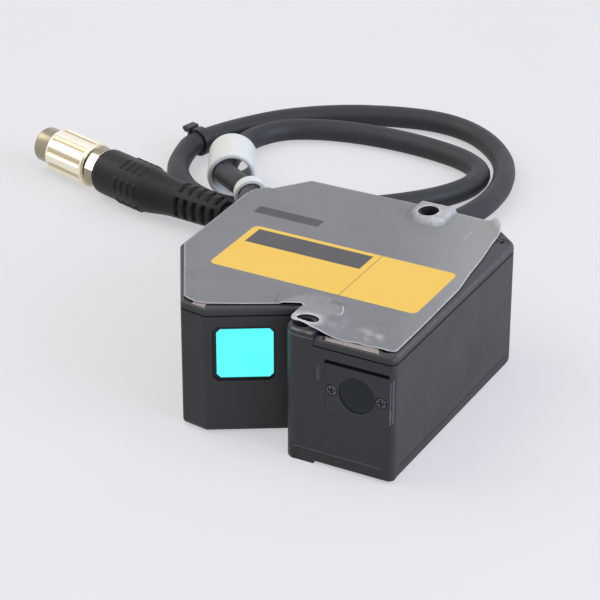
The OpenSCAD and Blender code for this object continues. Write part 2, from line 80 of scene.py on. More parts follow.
# Boot: its outline as distance from the flange and radius, its bore, bend, grip ribs and slots
BOOT_PROFILE = np.array([
    (0, 5.7), (0.2, 5.95), (0.6, 6.15), (1.2, 6.22), (5, 6.25), (16, 6.25), (17.6, 6.12), (20, 5.7),
    (23, 5.2), (25.6, 4.95), (27, 4.9), (36, 4.6), (40, 4.25), (42, 3.85), (42.4, 3.7), (42.6, 3.5)])
BOOT_BORE = 2.9
BOOT_SOCKET_R = 3.55
BOOT_SOCKET_END = 6.0
BOOT_TURN = np.radians(8)
BEND_FROM = 11.2
BEND_TO = 23.2
RIBS_AT = 9.4 + 2.3 * np.arange(4)
RIB_PANELS = 6
RIB_TURN = np.radians(168)
RIB_REACH = np.radians((14, 19))
RIB_HEIGHT = 0.3
SLOTS_AT = 29.2 + 2.85 * np.arange(5)
SLOT_WIDTH = 1.4
SLOT_REACH = np.radians(36)
SLOT_FLOOR = 3.2

# Cable: the route of the part's source, from the gland to the boot
CABLE_R = 3.0
ROUTE = np.array([
    (-41, 37.9, 14), (-45.9, 42.2, 13.7), (-50.5, 50.5, 12.6), (-54.5, 59.1, 10.8), (-60, 63.9, 9.9),
    (-65.4, 68.3, 8.9), (-70.1, 72.6, 7.8), (-73.3, 78.9, 6.5), (-76, 85.4, 5.2), (-78.8, 94, 3.8),
    (-79.7, 104, 3.1), (-75.7, 112.5, 3.1), (-67.7, 118, 3.1), (-55.7, 121.5, 3.1), (-39.7, 122.5, 3.1),
    (-23.7, 120, 3.1), (-15, 114.5, 3.1), (-13.1, 106, 3.1), (-17, 96, 3.1), (-25.7, 85.5, 3.1),
    (-37.7, 75.5, 3.1), (-48.7, 67.5, 3.2), (-58.3, 63.4, 3.4), (-68.7, 63.3, 3.2), (-78.7, 67.5, 3.1),
    (-87.2, 76.5, 3.1), (-91.2, 87.5, 3.4), (-90.5, 94, 4.1), (-85.3, 109.5, 3.2), (-75.7, 122.5, 3.1),
    (-60.7, 133, 3.1), (-41.7, 139, 3.1), (-26.7, 136.5, 3.1), (-13.9, 126, 3.1), (-6.7, 112, 3.1),
    (-4.9, 96, 3.1), (-8.9, 80, 3.1), (-17.8, 66, 3.1), (-32.7, 55, 3.1), (-47.7, 51.4, 4),
    (-56.7, 52.6, 6), (-64.7, 53.7, 6.45)])

# Ties on the cable: middle, heading, inner and outer radius, width; their blocks as size and middle
WRAP = dict(middle=(-71.9, 79.6, 6.7), heading=118, inner=5.2, outer=6.6, width=14)
LOOP = dict(middle=(-54.5, 59.1, 10.8), heading=125, inner=3.5, outer=4.5, width=3)
SNUG = dict(middle=(-90.5, 94, 4.1), heading=76, inner=3.2, outer=4, width=2.6)
LOOP_HEAD = ((3.4, 2.5, 2.4), (0, -5.05, 0))
SNUG_HEAD = ((3.8, 2.4, 1.8), (0, 3.4, 3.1))
SNUG_STUB = ((2.4, 1.2, 0.9), (0, 5.1, 2.75))

# Beads in joints: where each starts and ends, its half axis out of the face and the one along the face
# The base bead is a dark rubber line standing for the shade along the top of the right side's set-back:
# painted shade.
BASE_SHADE_BEAD = ((34.0, -32.4, 3.45), (34.0, 25.4, 3.45), (0.05, 0, 0), (0, 0, 0.26))
STEP_FILL = ((9.3, -35.0, 1.3), (9.3, -35.0, 3.45), (0, 0.235, 0), (0.9, 0, 0))
PLATE_LEFT = ((17.09, -35.22, 13.6), (17.09, -35.22, 26.2), (0, 0.035, 0), (0.12, 0, 0))
PLATE_BELOW = ((17.0, -35.22, 13.69), (32.7, -35.22, 13.69), (0, 0.035, 0), (0, 0, 0.12))

# Label film: thickness, span and step of its grid, outline, and holes as middle and half widths
FILM_T = 0.16
FILM_X = (-34.5, 34.0)
FILM_Y = (-35.0, 36.0)
FILM_STEP = 0.4
FILM_EDGE = np.array([
    (-20.0, -31.9), (-18.3, -32.7), (-16.3, -33.0), (-13.9, -32.6), (-6.2, -28.6), (1.6, -24.2),
    (4.7, -22.8), (6.3, -24.4), (6.5, -30.4), (7.1, -31.9), (8.3, -32.8), (10.8, -33.1), (12.6, -33.4),
    (14.4, -33.55), (16.1, -33.5), (17.6, -33.3), (19.3, -33.35), (22.5, -33.05), (25.7, -32.9),
    (29.0, -32.7), (30.9, -32.75), (32.3, -32.3), (32.8, -31.6), (32.75, -20.3), (32.4, -0.3), (31.3, 8.0),
    (30.5, 16.3), (29.4, 24.0), (28.8, 29.8), (28.4, 31.4), (26.8, 34.0), (25.4, 35.1), (24.5, 34.8),
    (22.6, 34.7), (13.9, 34.9), (-2.2, 34.6), (-23.3, 34.2), (-29.6, 25.9), (-30.7, 26.1), (-33.2, 23.4),
    (-33.8, 21.0), (-33.3, -9.5)])
FILM_HOLES = ((10.4, -30.3, 2.6, 1.95), (9.85, 30.6, 2.45, 2.85))

# Forms of the film: reach of its drape round each boss, embossed ring as middle and radius, lifted lip as
# middle and reach, a point and the direction across the crease of the rear right tip, and their heights
FRONT_DRAPE = 4.5
REAR_DRAPE = 0.9
RING = (7.9, -24.3, 7.1)
RING_LIFT = 0.3
LIP = (9.9, -33.2, 3.2, 2.4)
LIP_LIFT = 0.75
FOLD = ((24.3, 34.6), (0.765, 0.645))
FOLD_LIFT = 1.5
SCREW_LIFT = 0.12

# Whitened places of the film: the lip as middle and reach, the ring round the front hole as middle, stretch
# along X and radius, and the side of the rear boss as a point and a direction
WHITE_LIP = (9.5, -33.0, 4.5, 2.5)
WHITE_HOLE = (10.4, -30.3, 1.35, 2.3)
WHITE_SIDE = ((10.0, 31.0), (0.7, -0.35))

# Print on the film: low and high corner, corner radius and colour of each field, in the order of laying
FIELDS = (((-27.3, 12.5), (-10.2, 16.0), 0.2, "#48484b"),
          ((-23.3, -15.3), (29.0, 6.4), 1.5, "#f2c654"),
          ((-21.5, -1.9), (8.3, 5.1), 0.15, "#4e4c4d"),
          ((9.9, -15.3), (10.1, 6.4), 0.09, "#8f7d49"))

# Wear of the film: pattern, low and high corner, fading edge, strength and colour of each patch
WEAR = (("specks", (-25.5, -24.0), (-20.5, -18.0), 1.2, 1.0, "#48484a"),
        ("specks", (-31.8, -12.0), (-29.0, -7.0), 1.2, 1.0, "#48484a"),
        ("specks", (-4.5, -25.0), (0.5, -18.5), 1.2, 1.0, "#48484a"),
        ("specks", (19.0, -24.5), (26.5, -21.0), 1.2, 1.0, "#48484a"),
        ("scuffs", (21.5, -31.5), (28.0, -26.5), 1.2, 1.0, "#c9c9c8"),
        ("scuffs", (15.5, -30.0), (18.0, -26.0), 1.2, 1.0, "#c9c9c8"),
        ("groove", (-1.1, -20.8), (9.9, -15.3), 1.0, 0.6, "#48484a"),
        ("groove", (11.4, -25.3), (16.9, -19.3), 1.0, 0.7, "#dcdcda"),
        ("plain", (10.1, -20.1), (13.3, -18.5), 0.6, 0.8, "#4c4c4e"),
        ("plain", (22.5, 22.8), (22.72, 27.4), 0.2, 0.55, "#c4c4c2"))

# Old adhesive below the film's front edges: four corners of each strip
FRONT_STRIP = ((17.2, -34.95), (30.2, -34.95), (28.6, -32.5), (16.0, -32.9))
LEFT_STRIP = ((-16.8, -33.9), (-13.4, -34.3), (-13.9, -32.4), (-16.9, -32.6))

# Stage: half side and height of the table in metres, its own brightness, the sky's share of light, the
# point the lamps face, and name, place, side, power and colour of each lamp
TABLE_REACH = 2.5
TABLE_Z = -0.00005
TABLE_GLOW = 0.5
SKY_LIGHT = 0.55
LAMP_AIM = (-20, 30, 10)
LAMPS = (("left_lamp", (-650, -150, 800), 900, 4.6, "#fff6ea"),
         ("right_lamp", (850, -40, 400), 800, 8.4, "#d9e8ff"))

# Camera of the photograph: place, right and up directions, focal length in widths of the frame, sensor width
EYE = np.array([238.53, -454.53, 292.96])
LOOK_RIGHT = np.array([0.8789, 0.4771, 0.0007])
LOOK_UP = np.array([-0.2240, 0.4113, 0.8836])
FOCAL = 2524.0 / 600
SENSOR = 36.0


def make_camera():
    """Pinhole camera whose axes are the measured right, up and backward directions."""
    data = bpy.data.cameras.new("camera")
    data.sensor_fit = "HORIZONTAL"
    data.sensor_width = SENSOR
    data.lens = SENSOR * FOCAL
    data.clip_start = 0.01
    data.clip_end = 20
    camera = bpy.data.objects.new("camera", data)
    bpy.context.collection.objects.link(camera)
    back = np.cross(LOOK_RIGHT, LOOK_UP)
    turn = np.eye(4)
    turn[:3, 0] = LOOK_RIGHT / np.linalg.norm(LOOK_RIGHT)
    turn[:3, 2] = back / np.linalg.norm(back)
    turn[:3, 1] = np.cross(turn[:3, 2], turn[:3, 0])
    turn[:3, 3] = EYE * MM
    camera.matrix_world = Matrix(turn.tolist())
    bpy.context.scene.camera = camera


# Materials


def colour(code):
    """Linear colour of an sRGB hex code."""
    value = np.array([int(code[i:i + 2], 16) for i in (1, 3, 5)]) / 255
    linear = np.where(value <= 0.04045, value / 12.92, ((value + 0.055) / 1.055) ** 2.4)
    return (*linear.tolist(), 1.0)


def per(size_mm):
    """Texture scale whose features are about size_mm across on metre coordinates."""
    return 1000 / size_mm


def out_of(node):
    """First output that a node shows."""
    return next(s for s in node.outputs if s.enabled)


def add(tree, kind, inputs=None, **settings):
    """New node with its settings; each input is a value, or the node or socket that is linked to it."""
    node = tree.nodes.new(kind)
    for key, value in settings.items():
        setattr(node, key, value)
    for key, value in (inputs or {}).items():
        socket = node.inputs[key]
        if isinstance(key, str):
            socket = next(s for s in node.inputs if s.name == key and s.enabled)
        if isinstance(value, bpy.types.Node):
            value = out_of(value)
        if isinstance(value, bpy.types.NodeSocket):
            tree.links.new(value, socket)
        else:
            socket.default_value = value
    return node


def begin(name, metallic=0.0, ior=1.5):
    """New material, its node tree, its shader and its Object coordinates."""
    made = bpy.data.materials.new(name)
    made.use_nodes = True
    tree = made.node_tree
    shader = tree.nodes["Principled BSDF"]
    shader.inputs["Metallic"].default_value = metallic
    shader.inputs["IOR"].default_value = ior
    place = add(tree, "ShaderNodeTexCoord").outputs["Object"]
    return made, tree, shader, place


def surface(tree, shader, place, tint, roughness, cloud_mm, grain, depth_mm):
    """Last links of a finish: its colour, roughness that drifts over cloud_mm, and bump of a grain.

    Real grains are mostly finer than 0.1 mm and wouldn't show, so they are drawn 0.3 to 0.6 mm across.
    """
    drift = add(tree, "ShaderNodeTexNoise", {"Vector": place, "Scale": per(cloud_mm), "Detail": 3.0})
    spread = add(tree, "ShaderNodeMapRange", {"Value": drift, "From Min": 0.3, "From Max": 0.7,
                                              "To Min": roughness[0], "To Max": roughness[1]})
    bump = add(tree, "ShaderNodeBump", {"Height": grain, "Distance": depth_mm * MM, "Strength": 0.5})
    tree.links.new(out_of(tint), shader.inputs["Base Color"])
    tree.links.new(out_of(spread), shader.inputs["Roughness"])
    tree.links.new(out_of(bump), shader.inputs["Normal"])


def inside_box(tree, place, low, high, radius, soft):
    """Share of a rounded box: 1 inside, 0 outside, from the distance to the box drawn in by its radius."""
    low, high = np.array(low), np.array(high)
    middle = tuple((low + high) / 2 * MM)
    half = tuple(((high - low) / 2 - radius) * MM)
    moved = add(tree, "ShaderNodeVectorMath", {0: place, 1: middle}, operation="SUBTRACT")
    folded = add(tree, "ShaderNodeVectorMath", {0: moved}, operation="ABSOLUTE")
    over = add(tree, "ShaderNodeVectorMath", {0: folded, 1: half}, operation="SUBTRACT")
    kept = add(tree, "ShaderNodeVectorMath", {0: over, 1: (0, 0, 0)}, operation="MAXIMUM")
    away = add(tree, "ShaderNodeVectorMath", {0: kept}, operation="LENGTH")
    return add(tree, "ShaderNodeMapRange", {"Value": away, "From Min": (radius - soft) * MM,
                                            "From Max": (radius + soft) * MM, "To Min": 1.0, "To Max": 0.0})


def powder_coat(name, codes, roughness, marks=()):
    """Black powder coat on die-cast metal.

    The eye sees a satin black with fine orange peel, a slightly cloudy sheen, rubbed edges, painted
    highlights
    and painted shade. Each mark is a box: low and high corner, fading edge in millimetres, strength, how far
    noise breaks it up, and colour. Black anodising looks much the same and uses this without marks.
    """
    made, tree, shader, place = begin(name)
    cloud = add(tree, "ShaderNodeTexNoise", {"Vector": place, "Scale": per(9), "Detail": 3.0})
    tint = add(tree, "ShaderNodeMix", {"Factor": cloud, "A": colour(codes[0]), "B": colour(codes[1])},
               data_type="RGBA")
    mark_breakup = add(tree, "ShaderNodeTexNoise", {"Vector": place, "Scale": per(1.1), "Detail": 4.0})
    # Marks mix in rubbed paint, painted highlights and painted shade, each broken up by the same noise.
    for low, high, fade, strength, broken, code in marks:
        near = inside_box(tree, place, low, high, fade, fade)
        level = add(tree, "ShaderNodeMapRange", {"Value": mark_breakup, "From Min": 0.4, "From Max": 0.55,
                                                 "To Min": strength * (1 - broken), "To Max": strength})
        share = add(tree, "ShaderNodeMath", {0: near, 1: level}, operation="MULTIPLY")
        tint = add(tree, "ShaderNodeMix", {"Factor": share, "A": tint, "B": colour(code)}, data_type="RGBA")
    peel = add(tree, "ShaderNodeTexNoise", {"Vector": place, "Scale": per(0.35), "Detail": 2.0})
    surface(tree, shader, place, tint, roughness, 14, peel, 0.015)
    return made


def moulded(name, codes, grain_mm, roughness, shine=0.5, tone=None):
    """Moulded plastic or rubber: the eye sees one colour with a slight cloud and a fine sparked grain.

    A tone is the colour that a piece's own "tone" attribute brings in, for painted shade on the floors of
    slots.
    """
    made, tree, shader, place = begin(name, ior=1.46)
    shader.inputs["Specular IOR Level"].default_value = shine
    cloud = add(tree, "ShaderNodeTexNoise", {"Vector": place, "Scale": per(5), "Detail": 3.0})
    tint = add(tree, "ShaderNodeMix", {"Factor": cloud, "A": colour(codes[0]), "B": colour(codes[1])},
               data_type="RGBA")
    if tone:
        share = add(tree, "ShaderNodeAttribute", attribute_name="tone").outputs["Fac"]
        tint = add(tree, "ShaderNodeMix", {"Factor": share, "A": tint, "B": colour(tone)}, data_type="RGBA")
    grain = add(tree, "ShaderNodeTexNoise", {"Vector": place, "Scale": per(grain_mm), "Detail": 2.0})
    surface(tree, shader, place, tint, roughness, 7, grain, 0.015)
    return made


def turned_metal(name, codes, roughness, tone=None):
    """Turned and plated metal: the eye sees fine lathe rings across the connector's axis, dulled in clouds.

    The rings are about 1 mm apart, coarser than real ones, so that they show. A tone is the colour that a
    piece's own "tone" attribute brings in: painted shade in flutes, and painted light on bright flats and a
    collar.
    """
    made, tree, shader, place = begin(name, metallic=1.0)
    dull = add(tree, "ShaderNodeTexNoise", {"Vector": place, "Scale": per(4), "Detail": 3.0})
    tint = add(tree, "ShaderNodeMix", {"Factor": dull, "A": colour(codes[0]), "B": colour(codes[1])},
               data_type="RGBA")
    if tone:
        share = add(tree, "ShaderNodeAttribute", attribute_name="tone").outputs["Fac"]
        tint = add(tree, "ShaderNodeMix", {"Factor": share, "A": tint, "B": colour(tone)}, data_type="RGBA")
    along = add(tree, "ShaderNodeMapping", {"Vector": place, "Rotation": (0, 0, -HEADING)})
    rings = add(tree, "ShaderNodeTexWave", {"Vector": along, "Scale": per(3.1), "Distortion": 0.6},
                bands_direction="X")
    surface(tree, shader, place, tint, roughness, 6, rings, 0.004)
    return made


def vinyl_film():
    """Printed vinyl film.

    The eye sees a matt grey with fields of colour, paler towards its right side by a painted sheen, whitened
    where it is stretched or cut, with pale scuffs and dark grit in patches and a groove round the embossed
    ring.
    """
    made, tree, shader, place = begin("printed_vinyl_film", ior=1.45)
    cloud = add(tree, "ShaderNodeTexNoise", {"Vector": place, "Scale": per(14), "Detail": 3.0})
    tint = add(tree, "ShaderNodeMix", {"Factor": cloud, "A": colour("#747476"), "B": colour("#818183")},
               data_type="RGBA")
    # Painted sheen: the grey turns paler towards the film's right side.
    across = add(tree, "ShaderNodeVectorMath", {0: place, 1: (1, 0.45, 0)}, operation="DOT_PRODUCT")
    painted_sheen = add(tree, "ShaderNodeMapRange", {"Value": across, "From Min": 16 * MM, "From Max": 36 * MM,
                                            "To Max": 0.55})
    tint = add(tree, "ShaderNodeMix", {"Factor": painted_sheen, "A": tint, "B": colour("#a5a5a1")}, data_type="RGBA")
    for low, high, radius, code in FIELDS:
        share = inside_box(tree, place, (*low, -9), (*high, 99), radius, min(0.1, radius * 0.6))
        tint = add(tree, "ShaderNodeMix", {"Factor": share, "A": tint, "B": colour(code)}, data_type="RGBA")
    grit = add(tree, "ShaderNodeTexNoise", {"Vector": place, "Scale": per(0.7), "Detail": 5.0})
    specks = add(tree, "ShaderNodeMapRange", {"Value": grit, "From Min": 0.6, "From Max": 0.68})
    rub = add(tree, "ShaderNodeTexNoise", {"Vector": place, "Scale": per(2.6), "Detail": 4.0})
    scuffs = add(tree, "ShaderNodeMapRange", {"Value": rub, "From Min": 0.42, "From Max": 0.72,
                                              "To Max": 0.55})
    x, y, r = RING
    outer, inner = (inside_box(tree, place, (x - s, y - s, 0), (x + s, y + s, 99), s, 0.06)
                    for s in (r + 0.12, r - 0.12))
    groove = add(tree, "ShaderNodeMath", {0: outer, 1: inner}, operation="SUBTRACT")
    patterns = {"specks": specks, "scuffs": scuffs, "groove": groove, "plain": 1.0}
    for pattern, low, high, fade, strength, code in WEAR:
        area = inside_box(tree, place, (*low, 0), (*high, 99), fade, fade)
        share = add(tree, "ShaderNodeMath", {0: area, 1: patterns[pattern]}, operation="MULTIPLY")
        share = add(tree, "ShaderNodeMath", {0: share, 1: strength}, operation="MULTIPLY")
        tint = add(tree, "ShaderNodeMix", {"Factor": share, "A": tint, "B": colour(code)}, data_type="RGBA")
    stretch = add(tree, "ShaderNodeAttribute", attribute_name="stretch").outputs["Fac"]
    crackle = add(tree, "ShaderNodeTexNoise", {"Vector": place, "Scale": per(1.5), "Detail": 4.0})
    crackle = add(tree, "ShaderNodeMapRange", {"Value": crackle, "From Min": 0.3, "From Max": 0.66,
                                               "To Min": 0.5})
    stretch = add(tree, "ShaderNodeMath", {0: stretch, 1: crackle}, operation="MULTIPLY")
    tint = add(tree, "ShaderNodeMix", {"Factor": stretch, "A": tint, "B": colour("#e2e2e1")},
               data_type="RGBA")
    grain = add(tree, "ShaderNodeTexNoise", {"Vector": place, "Scale": per(0.4), "Detail": 3.0})
    surface(tree, shader, place, tint, (0.4, 0.56), 10, grain, 0.01)
    return made


def worn_oxide():
    """Black oxide on small screws: the eye sees dark steel with bright specks of wear and a dark rim."""
    made, tree, shader, place = begin("worn_oxide_steel", metallic=1.0)
    wear = add(tree, "ShaderNodeTexNoise", {"Vector": place, "Scale": per(0.4), "Detail": 3.0})
    specks = add(tree, "ShaderNodeMapRange", {"Value": wear, "From Min": 0.45, "From Max": 0.7})
    tint = add(tree, "ShaderNodeMix", {"Factor": specks, "A": colour("#48494c"), "B": colour("#74767a")},
               data_type="RGBA")
    r, z = PLATE_HEAD_R, PLATE_SCREWS_Z
    left, right = (inside_box(tree, place, (x - r, -99, z - r), (x + r, 99, z + r), r, 0.12)
                   for x in PLATE_SCREWS_X)
    heads = add(tree, "ShaderNodeMath", {0: left, 1: right}, operation="MAXIMUM")
    tint = add(tree, "ShaderNodeMix", {"Factor": heads, "A": colour("#1c1c1e"), "B": tint}, data_type="RGBA")
    surface(tree, shader, place, tint, (0.35, 0.5), 1, wear, 0.02)
    return made


def dried_adhesive():
    """Adhesive left on the coat: the eye sees rough pinkish brown specks."""
    made, tree, shader, place = begin("dried_adhesive")
    speck = add(tree, "ShaderNodeTexNoise", {"Vector": place, "Scale": per(0.45), "Detail": 5.0})
    tint = add(tree, "ShaderNodeMix", {"Factor": speck, "A": colour("#6b5d5a"), "B": colour("#bfb3af")},
               data_type="RGBA")
    surface(tree, shader, place, tint, (0.7, 0.9), 3, speck, 0.05)
    return made


def coated_glass(name, codes, metallic, roughness, shine=0.5, glow=0.0):
    """Coated optical glass: the eye sees a smooth even mirror with a faint haze of handling.

    A glow stands for the light that a dichroic coating sends back from lamps that aren't built.
    """
    made, tree, shader, place = begin(name, metallic=metallic)
    shader.inputs["Specular IOR Level"].default_value = shine
    shader.inputs["Emission Color"].default_value = colour(codes[0])
    shader.inputs["Emission Strength"].default_value = glow
    haze = add(tree, "ShaderNodeTexNoise", {"Vector": place, "Scale": per(6), "Detail": 2.0})
    tint = add(tree, "ShaderNodeMix", {"Factor": haze, "A": colour(codes[0]), "B": colour(codes[1])},
               data_type="RGBA")
    surface(tree, shader, place, tint, roughness, 6, haze, 0.0005)
    return made


# Marks of the housing: two lines down the right edge of the emitter block with chips, the edge of the front
# set-back, painted shade in the set-back, a smear on the face, pale lines on two edges of the front boss that
# are rubbed paint and a painted highlight together, and painted shade in the right side's base and seam.
# Marks
# of the cover: a pale patch beside the front boss, and on the right a painted highlight on its chamfer and
# painted shade on its side.
# Mark colours: pale for rubbed paint and painted highlights, near black for painted shade.
RUBBED_AND_HIGHLIGHT = "#85878a"
PAINTED_SHADE = "#0d0d0f"
HOUSING_MARKS = (((32.98, -35.6, 15.0), (33.2, -35.0, 25.6), 0.08, 0.6, 0.5, RUBBED_AND_HIGHLIGHT),
                 ((32.95, -35.6, 15.2), (33.25, -35.0, 18.6), 0.08, 0.6, 1.0, RUBBED_AND_HIGHLIGHT),
                 ((33.5, -35.3, 15.6), (33.74, -34.6, 26.0), 0.1, 0.48, 0.1, RUBBED_AND_HIGHLIGHT),
                 ((9.6, -35.6, 3.38), (31.2, -35.0, 3.6), 0.08, 0.9, 0.3, RUBBED_AND_HIGHLIGHT),
                 ((8.0, -36.0, -1.0), (32.4, -34.6, 3.3), 0.25, 0.28, 0.1, PAINTED_SHADE),
                 ((15.3, -36.2, 21.9), (15.8, -34.2, 25.1), 0.32, 0.45, 0.5, RUBBED_AND_HIGHLIGHT),
                 ((6.9, -35.4, 31.2), (14.2, -34.3, 31.5), 0.1, 0.6, 0.5, RUBBED_AND_HIGHLIGHT),
                 ((7.6, -35.4, 32.3), (13.8, -34.4, 32.6), 0.1, 0.6, 0.7, RUBBED_AND_HIGHLIGHT),
                 ((33.2, -31.9, -1.0), (34.8, 34.0, 3.7), 0.15, 0.45, 0.1, PAINTED_SHADE),
                 ((33.4, -34.0, 29.2), (34.6, 34.5, 29.7), 0.12, 0.8, 0.1, PAINTED_SHADE))
COVER_MARKS = (((14.5, -34.5, 31.2), (15.9, -33.1, 31.8), 0.15, 0.6, 0.6, RUBBED_AND_HIGHLIGHT),
               ((33.3, -33.5, 30.95), (34.2, 27.0, 31.5), 0.1, 0.22, 0.4, RUBBED_AND_HIGHLIGHT),
               ((33.5, -34.0, 29.6), (34.6, 27.0, 30.5), 0.15, 0.45, 0.2, PAINTED_SHADE))
housing_coat = powder_coat("black_powder_coat", ("#222224", "#29292c"), (0.44, 0.56), HOUSING_MARKS)
cover_coat = powder_coat("black_cover_coat", ("#252527", "#2d2d30"), (0.38, 0.5), COVER_MARKS)
anodised = powder_coat("black_anodised_aluminium", ("#202022", "#262628"), (0.42, 0.55))
vinyl = vinyl_film()
vinyl_core = moulded("white_vinyl_core", ("#d6d6d4", "#e4e4e2"), 0.5, (0.45, 0.55))
adhesive = dried_adhesive()
pvc = moulded("grey_pvc_jacket", ("#303133", "#37383a"), 0.5, (0.46, 0.58), shine=0.35)
# The boot's near-black tone is painted shade on the floors of its slots.
boot_rubber = moulded("black_boot_rubber", ("#111012", "#181719"), 0.4, (0.38, 0.5), 0.3, "#020202")
gland_rubber = moulded("black_gland_rubber", ("#111012", "#181719"), 0.4, (0.42, 0.54), 0.3)
seal_rubber = moulded("black_seal_rubber", ("#111112", "#18181a"), 0.4, (0.55, 0.65))
white_nylon = moulded("white_nylon", ("#dfdfda", "#e8e8e4"), 0.6, (0.35, 0.45))
black_nylon = moulded("black_nylon", ("#262729", "#2e2f31"), 0.6, (0.38, 0.48))
solder_mask = moulded("green_solder_mask", ("#1b5230", "#236238"), 1.2, (0.3, 0.4))
chip_plastic = moulded("black_chip_plastic", ("#1c1d20", "#242528"), 0.5, (0.55, 0.65))
# The sleeve's beige tone is painted shade, deeper with the depth of each flute.
nickel = turned_metal("satin_nickel", ("#fffbe8", "#f8ecd0"), (0.22, 0.32), tone="#c9b998")
# The shell's near-white tone is painted light: a highlight on the spanner flats and a lit collar.
dull_nickel = turned_metal("dull_nickel", ("#aaa28b", "#948a74"), (0.2, 0.3), tone="#fffdf4")
gold = turned_metal("gold_plate", ("#d8b25a", "#b8923e"), (0.2, 0.3))
black_oxide = turned_metal("black_oxide_steel", ("#4a4b4d", "#5c5d60"), (0.3, 0.42))
bright_steel = turned_metal("bright_steel", ("#b9bbbd", "#9a9c9f"), (0.25, 0.35))
machined = turned_metal("machined_aluminium", ("#aeb1b4", "#96999d"), (0.3, 0.4))
receiver_coating = coated_glass("cyan_coated_glass", ("#60fffc", "#6cffff"), 1.0, (0.1, 0.18), glow=0.2)
window_glass = coated_glass("dark_window_glass", ("#0e181e", "#142027"), 0.0, (0.05, 0.12), shine=0.3)
lens_glass = coated_glass("lens_glass", ("#86acba", "#9ac0cc"), 0.0, (0.02, 0.05))

FINISHES = {
    "housing": housing_coat, "top_cover": cover_coat, "emitter_window_plate": housing_coat,
    "cover_gasket": seal_rubber, "emitter_window_seal": seal_rubber, "receiver_window_seal": seal_rubber,
    "cover_screws": black_oxide, "plate_screws": worn_oxide(), "board_screws": bright_steel,
    "emitter_window_glass": window_glass, "receiver_window_glass": receiver_coating,
    "laser_holder": machined, "laser_diode": gold, "collimator_lens": lens_glass,
    "receiver_lens": lens_glass, "receiver_lens_barrel": anodised, "sensor_board": solder_mask,
    "main_board": solder_mask, "image_sensor": chip_plastic, "board_chips": chip_plastic,
    "cable_gland": gland_rubber, "connector_insert": chip_plastic, "contact_pins": gold,
}
for name, finish in FINISHES.items():
    nodes[name].material_slots[0].material = finish


# Surfaces


def grid_faces(rows, cols, close_rows=False, close_cols=False):
    """Quads between the neighbouring points of a grid numbered row by row; a closed side joins its ends."""
    last_row, last_col = rows - (not close_rows), cols - (not close_cols)
    r, c = np.meshgrid(np.arange(last_row), np.arange(last_col), indexing="ij")
    down, across = (r + 1) % rows, (c + 1) % cols
    corners = [r * cols + c, r * cols + across, down * cols + across, down * cols + c]
    return np.stack(corners, axis=-1).reshape(-1, 4)


def piece(name, points, faces, finish, body="head"):
    """New smooth object at the origin from points in millimetres, riding on a body."""
    mesh = bpy.data.meshes.new(name)
    mesh.from_pydata((np.asarray(points) * MM).tolist(), [], np.asarray(faces).tolist())
    mesh.polygons.foreach_set("use_smooth", np.ones(len(mesh.polygons), dtype=bool))
    mesh.update()
    made = bpy.data.objects.new(name, mesh)
    bpy.context.collection.objects.link(made)
    mesh.materials.append(finish)
    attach(made, body)
    return made


def outward(points, faces):
    """Faces of a closed surface, turned so that the volume they enclose counts as positive."""
    a, b, c, d = (points[faces[:, k]] for k in range(4))
    volume = np.einsum("ij,ij->i", a, np.cross(b, c)) + np.einsum("ij,ij->i", a, np.cross(c, d))
    return faces if volume.sum() > 0 else faces[:, ::-1]


def turned(profile, origin, heading, steps=96, depth=None):
    """Closed profile of [station, radius] carried round an axis in the floor plane.

    A point is origin + station * axis + radius * (cos t * side + sin t * up). depth(t, station, radius) is
    taken off the radius where given, for flutes and flats.
    """
    profile = np.asarray(profile, float)
    axis = np.array([np.cos(heading), np.sin(heading), 0])
    side = np.array([-np.sin(heading), np.cos(heading), 0])
    up = np.array([0, 0, 1.0])
    turns = np.linspace(0, 2 * np.pi, steps, endpoint=False)
    station, angle = np.meshgrid(profile[:, 0], turns, indexing="ij")
    radius = np.repeat(profile[:, 1:], steps, 1)
    if depth is not None:
        radius = radius - depth(angle, station, radius)
    round_it = np.cos(angle)[..., None] * side + np.sin(angle)[..., None] * up
    points = (np.asarray(origin) + station[..., None] * axis + radius[..., None] * round_it).reshape(-1, 3)
    return points, outward(points, grid_faces(len(profile), steps, True, True))


def sharpened(profile, width=0.05):
    """Profile with a point close to both sides of each corner, so that smooth shading keeps its edges."""
    p = np.asarray(profile, float)
    steps = np.roll(p, 1, 0) - p, np.roll(p, -1, 0) - p
    lengths = [np.linalg.norm(v, axis=1, keepdims=True) for v in steps]
    near = [p + v / n * np.minimum(width, n / 3) for v, n in zip(steps, lengths)]
    return np.stack(near, axis=1).reshape(-1, 2)


def soft_loop(width, inner, outer, r, steps=6):
    """Rounded rectangle of [station, radius] as one closed loop of corner arcs, its middle at station 0."""
    h = width / 2 - r
    arcs = []
    corners = ((h, outer - r, 0), (-h, outer - r, 90), (-h, inner + r, 180), (h, inner + r, 270))
    for station, radius, first in corners:
        t = np.radians(np.linspace(first, first + 90, steps))
        arcs.append(np.stack([station + r * np.cos(t), radius + r * np.sin(t)], axis=1))
    return np.concatenate(arcs)


def soft_block(size, middle, share=0.2, steps=20):
    """Block with rounded edges: a superellipsoid, each coordinate a signed power of a cosine or sine."""
    u = np.linspace(-np.pi / 2, np.pi / 2, steps)
    v = np.linspace(0, 2 * np.pi, 2 * steps, endpoint=False)
    u, v = np.meshgrid(u, v, indexing="ij")
    waves = np.stack([np.cos(u), np.sin(u), np.cos(v), np.sin(v)])
    flat = np.sign(waves) * np.abs(waves) ** share
    points = np.stack([flat[0] * flat[2], flat[0] * flat[3], flat[1]], axis=-1).reshape(-1, 3)
    points = points * np.asarray(size) / 2
    faces = outward(points, grid_faces(steps, 2 * steps, False, True))
    return points + np.asarray(middle), faces


